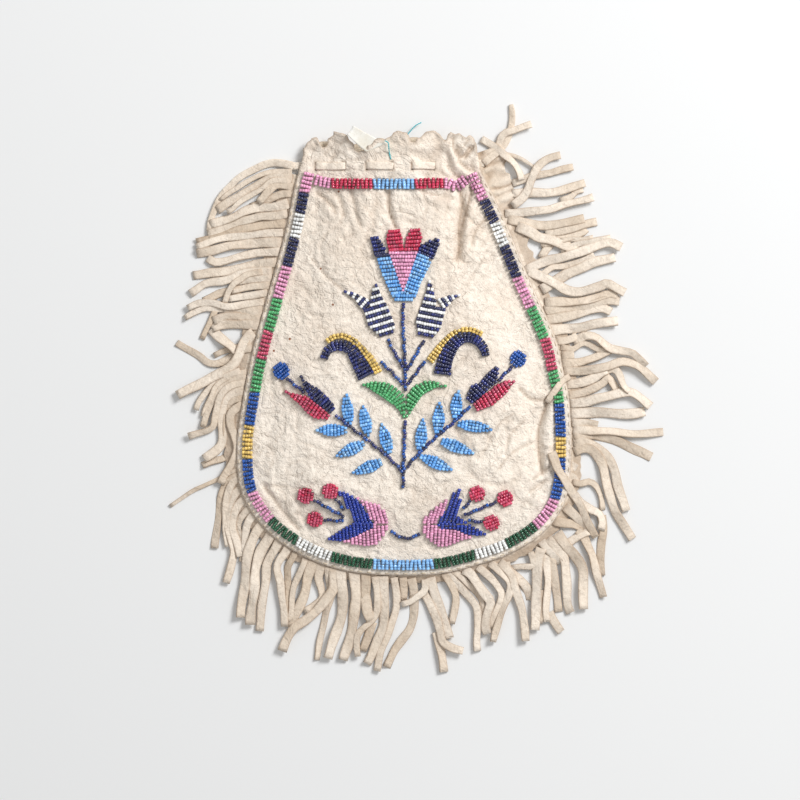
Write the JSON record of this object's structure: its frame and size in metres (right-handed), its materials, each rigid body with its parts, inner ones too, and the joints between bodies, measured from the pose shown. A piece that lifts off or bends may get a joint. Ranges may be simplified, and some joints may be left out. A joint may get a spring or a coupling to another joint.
{
  "type": "beaded drawstring pouch",
  "caption": "Flat pear-shaped buckskin pouch with a hide fringe, a laced drawstring and glass beadwork flowers and border on the front.",
  "frame": {"origin": "on the back hide's outer face, near the middle of the bag", "axes": "+Z out of the beaded front, +Y towards the mouth, +X to the right seen from the front"},
  "size_m": [0.2797, 0.3109, 0.0129],
  "materials": {
    "hide": "soft napped suede",
    "hide_back": "soft napped suede",
    "thong": "soft napped suede, cut edges",
    "paper": "matte bare card",
    "thread": "twisted thread",
    "beads_navy": "gloss",
    "beads_royal": "gloss",
    "beads_blue": "gloss",
    "beads_light_blue": "gloss",
    "beads_pink": "gloss",
    "beads_red": "gloss",
    "beads_green": "gloss",
    "beads_yellow": "gloss",
    "beads_white": "gloss"
  },
  "bodies": {
    "root": {"front_hide": "hide", "back_hide": "hide_back", "fringe_left": "thong", "fringe_right": "thong", "drawstring": "thong", "drawstring_left_end": "thong", "drawstring_right_end": "thong", "paper_tag": "paper", "tag_thread": "thread", "border_left": "beads_green", "border_right": "beads_green", "calyx_green": "beads_green", "border_bottom": "beads_light_blue", "border_top": "beads_red", "tulip_tip_red_left": "beads_red", "tulip_tip_red_right": "beads_red", "side_bud_red_left": "beads_red", "side_bud_red_right": "beads_red", "berry_left_1": "beads_red", "berry_left_2": "beads_red", "berry_left_3": "beads_red", "berry_right_1": "beads_red", "berry_right_2": "beads_red", "berry_right_3": "beads_red", "tulip_cup_blue": "beads_blue", "leaf_1": "beads_blue", "leaf_2": "beads_blue", "leaf_3": "beads_blue", "leaf_4": "beads_blue", "leaf_5": "beads_blue", "leaf_6": "beads_blue", "leaf_7": "beads_blue", "leaf_8": "beads_blue", "leaf_9": "beads_blue", "leaf_10": "beads_blue", "leaf_11": "beads_blue", "leaf_12": "beads_blue", "tulip_heart_pink": "beads_pink", "flower_pink_left": "beads_pink", "flower_pink_right": "beads_pink", "tulip_tip_navy_left": "beads_navy", "tulip_tip_navy_right": "beads_navy", "petal_navy_left": "beads_navy", "petal_navy_right": "beads_navy", "side_bud_navy_left": "beads_navy", "side_bud_navy_right": "beads_navy", "striped_bud_left": "beads_white", "striped_bud_right": "beads_white", "petal_yellow_left": "beads_yellow", "petal_yellow_right": "beads_yellow", "upper_stems": "beads_royal", "lower_stems": "beads_royal", "side_bud_ball_left": "beads_royal", "side_bud_ball_right": "beads_royal", "flower_blue_left": "beads_royal", "flower_blue_right": "beads_royal", "tendril": "beads_royal"}
  },
  "joints": []
}
